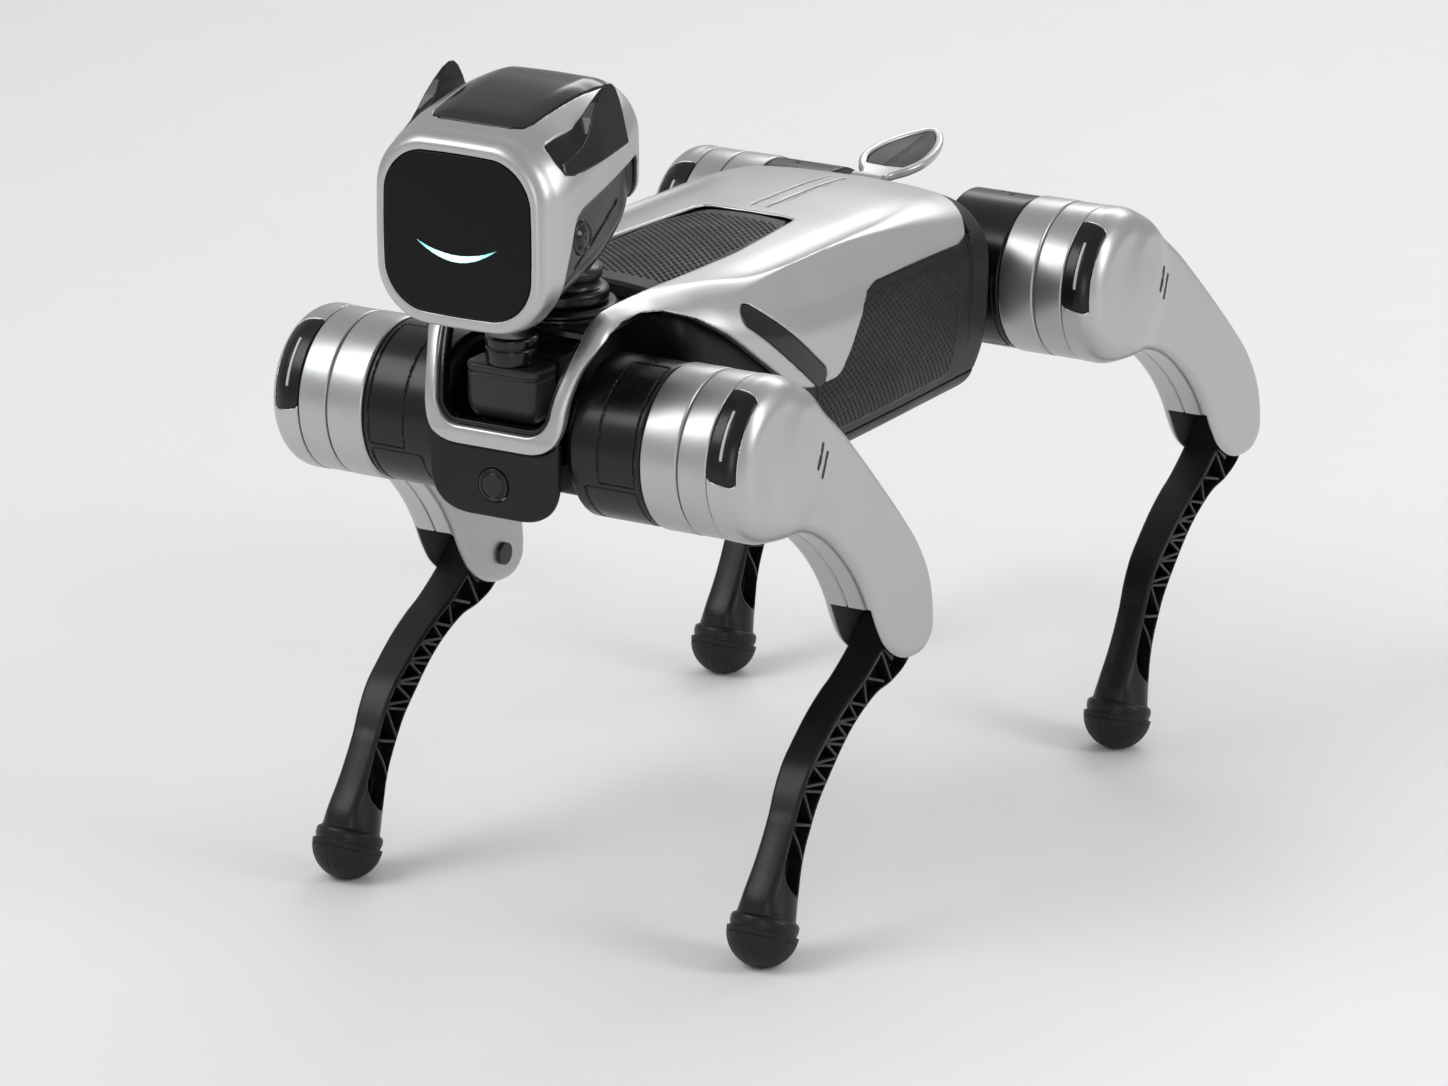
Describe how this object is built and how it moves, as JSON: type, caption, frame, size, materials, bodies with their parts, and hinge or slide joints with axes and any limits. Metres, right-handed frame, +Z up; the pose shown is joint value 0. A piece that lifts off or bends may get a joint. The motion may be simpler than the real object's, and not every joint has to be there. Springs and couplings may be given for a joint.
{
  "type": "quadruped robot dog",
  "caption": "Quadruped walking robot with a screen face, pointed ears, silver shells, round hip actuators, bowed lattice shanks and ball feet.",
  "frame": {"origin": "on the floor under the middle of the machine's bounding box", "axes": "+Z up, -Y towards the face, +X the robot's left"},
  "size_m": [0.3126, 0.664, 0.4895],
  "materials": {
    "silver_paint": "satin silver paint",
    "silver_machined": "fine turned satin",
    "black_shell": "matte moulded black",
    "black_gloss": "gloss black",
    "black_metal": "semi-gloss black coat",
    "grille": "matte dark grey, slotted",
    "smoked_lens": "smoked gloss",
    "screen_glass": "black display glass",
    "face_glow": "lit display",
    "light_strip": "gloss black insert with a clear light guide",
    "shaft_steel": "ground steel",
    "shank_black": "satin black moulding",
    "rubber_foot": "smooth black rubber",
    "cast_frame": "as cast",
    "motor_body": "black anodised",
    "battery_wrap": "moulded case",
    "board": "solder mask"
  },
  "bodies": {
    "trunk": {"chassis": "cast_frame", "top_shell": "silver_paint", "body_tub": "black_shell", "shoulder_strips": "black_gloss", "neck_grille": "grille", "chest_plate": "black_shell", "lidar_pedestal": "smoked_lens", "lidar_cap": "smoked_lens", "battery_pack": "battery_wrap", "main_board": "board", "abduction_motors": "motor_body", "neck_base": "black_metal"},
    "button": {"chest_button": "black_gloss"},
    "neck": {"neck_yoke": "black_metal"},
    "head": {"head_shell": "silver_paint", "head_core": "black_gloss", "face_screen": "screen_glass", "face_light": "face_glow", "head_top_panel": "black_gloss", "ears": "black_shell", "temple_pods": "black_gloss"},
    "tail": {"tail_fin": "silver_paint", "tail_inlay": "black_gloss"},
    "hip_fl": {"hip_housing_fl": "black_metal", "hip_motor_fl": "motor_body"},
    "thigh_fl": {"thigh_drum_fl": "silver_machined", "thigh_shell_fl": "silver_paint", "thigh_inner_cover_fl": "silver_paint", "light_bar_fl": "light_strip", "knee_shaft_fl": "shaft_steel"},
    "shank_fl": {"shank_fl": "shank_black", "foot_fl": "rubber_foot"},
    "hip_fr": {"hip_housing_fr": "black_metal", "hip_motor_fr": "motor_body"},
    "thigh_fr": {"thigh_drum_fr": "silver_machined", "thigh_shell_fr": "silver_paint", "thigh_inner_cover_fr": "silver_paint", "light_bar_fr": "light_strip", "knee_shaft_fr": "shaft_steel"},
    "shank_fr": {"shank_fr": "shank_black", "foot_fr": "rubber_foot"},
    "hip_rl": {"hip_housing_rl": "black_metal", "hip_motor_rl": "motor_body"},
    "thigh_rl": {"thigh_drum_rl": "silver_machined", "thigh_shell_rl": "silver_paint", "thigh_inner_cover_rl": "silver_paint", "light_bar_rl": "light_strip", "knee_shaft_rl": "shaft_steel"},
    "shank_rl": {"shank_rl": "shank_black", "foot_rl": "rubber_foot"},
    "hip_rr": {"hip_housing_rr": "black_metal", "hip_motor_rr": "motor_body"},
    "thigh_rr": {"thigh_drum_rr": "silver_machined", "thigh_shell_rr": "silver_paint", "thigh_inner_cover_rr": "silver_paint", "light_bar_rr": "light_strip", "knee_shaft_rr": "shaft_steel"},
    "shank_rr": {"shank_rr": "shank_black", "foot_rr": "rubber_foot"}
  },
  "joints": [
    {"name": "neck_yaw", "type": "hinge", "parent": "trunk", "child": "neck", "pos_m": [0, -0.2265, 0.35], "axis": [0, 0, 1], "range_deg": [-25, 25]},
    {"name": "head_pitch", "type": "hinge", "parent": "neck", "child": "head", "pos_m": [0, -0.2345, 0.396], "axis": [1, 0, 0], "range_deg": [-20, 6]},
    {"name": "tail_tilt", "type": "hinge", "parent": "trunk", "child": "tail", "pos_m": [0, 0.1115, 0.343], "axis": [1, 0, 0], "range_deg": [-10, 25]},
    {"name": "button_press", "type": "slide", "parent": "trunk", "child": "button", "axis": [0, 1, 0], "range_m": [0, 0.0015], "stiffness_N_per_m": 500},
    {"name": "abduct_fl", "type": "hinge", "parent": "trunk", "child": "hip_fl", "pos_m": [0.06, -0.2465, 0.291], "axis": [0, -1, 0], "range_deg": [-15, 30]},
    {"name": "pitch_fl", "type": "hinge", "parent": "hip_fl", "child": "thigh_fl", "pos_m": [0.1, -0.2465, 0.291], "axis": [1, 0, 0], "range_deg": [-45, 40]},
    {"name": "knee_fl", "type": "hinge", "parent": "thigh_fl", "child": "shank_fl", "pos_m": [0.136, -0.10266, 0.1564], "axis": [-1, 0, 0], "range_deg": [-50, 35]},
    {"name": "abduct_fr", "type": "hinge", "parent": "trunk", "child": "hip_fr", "pos_m": [-0.06, -0.2465, 0.291], "axis": [0, 1, 0], "range_deg": [-15, 30]},
    {"name": "pitch_fr", "type": "hinge", "parent": "hip_fr", "child": "thigh_fr", "pos_m": [-0.1, -0.2465, 0.291], "axis": [1, 0, 0], "range_deg": [-45, 40]},
    {"name": "knee_fr", "type": "hinge", "parent": "thigh_fr", "child": "shank_fr", "pos_m": [-0.136, -0.10266, 0.1564], "axis": [-1, 0, 0], "range_deg": [-50, 35]},
    {"name": "abduct_rl", "type": "hinge", "parent": "trunk", "child": "hip_rl", "pos_m": [0.06, 0.1535, 0.291], "axis": [0, -1, 0], "range_deg": [-15, 30]},
    {"name": "pitch_rl", "type": "hinge", "parent": "hip_rl", "child": "thigh_rl", "pos_m": [0.1, 0.1535, 0.291], "axis": [1, 0, 0], "range_deg": [-45, 40]},
    {"name": "knee_rl", "type": "hinge", "parent": "thigh_rl", "child": "shank_rl", "pos_m": [0.136, 0.30551, 0.16569], "axis": [-1, 0, 0], "range_deg": [-50, 35]},
    {"name": "abduct_rr", "type": "hinge", "parent": "trunk", "child": "hip_rr", "pos_m": [-0.06, 0.1535, 0.291], "axis": [0, 1, 0], "range_deg": [-15, 30]},
    {"name": "pitch_rr", "type": "hinge", "parent": "hip_rr", "child": "thigh_rr", "pos_m": [-0.1, 0.1535, 0.291], "axis": [1, 0, 0], "range_deg": [-45, 40]},
    {"name": "knee_rr", "type": "hinge", "parent": "thigh_rr", "child": "shank_rr", "pos_m": [-0.136, 0.30551, 0.16569], "axis": [-1, 0, 0], "range_deg": [-50, 35]}
  ]
}
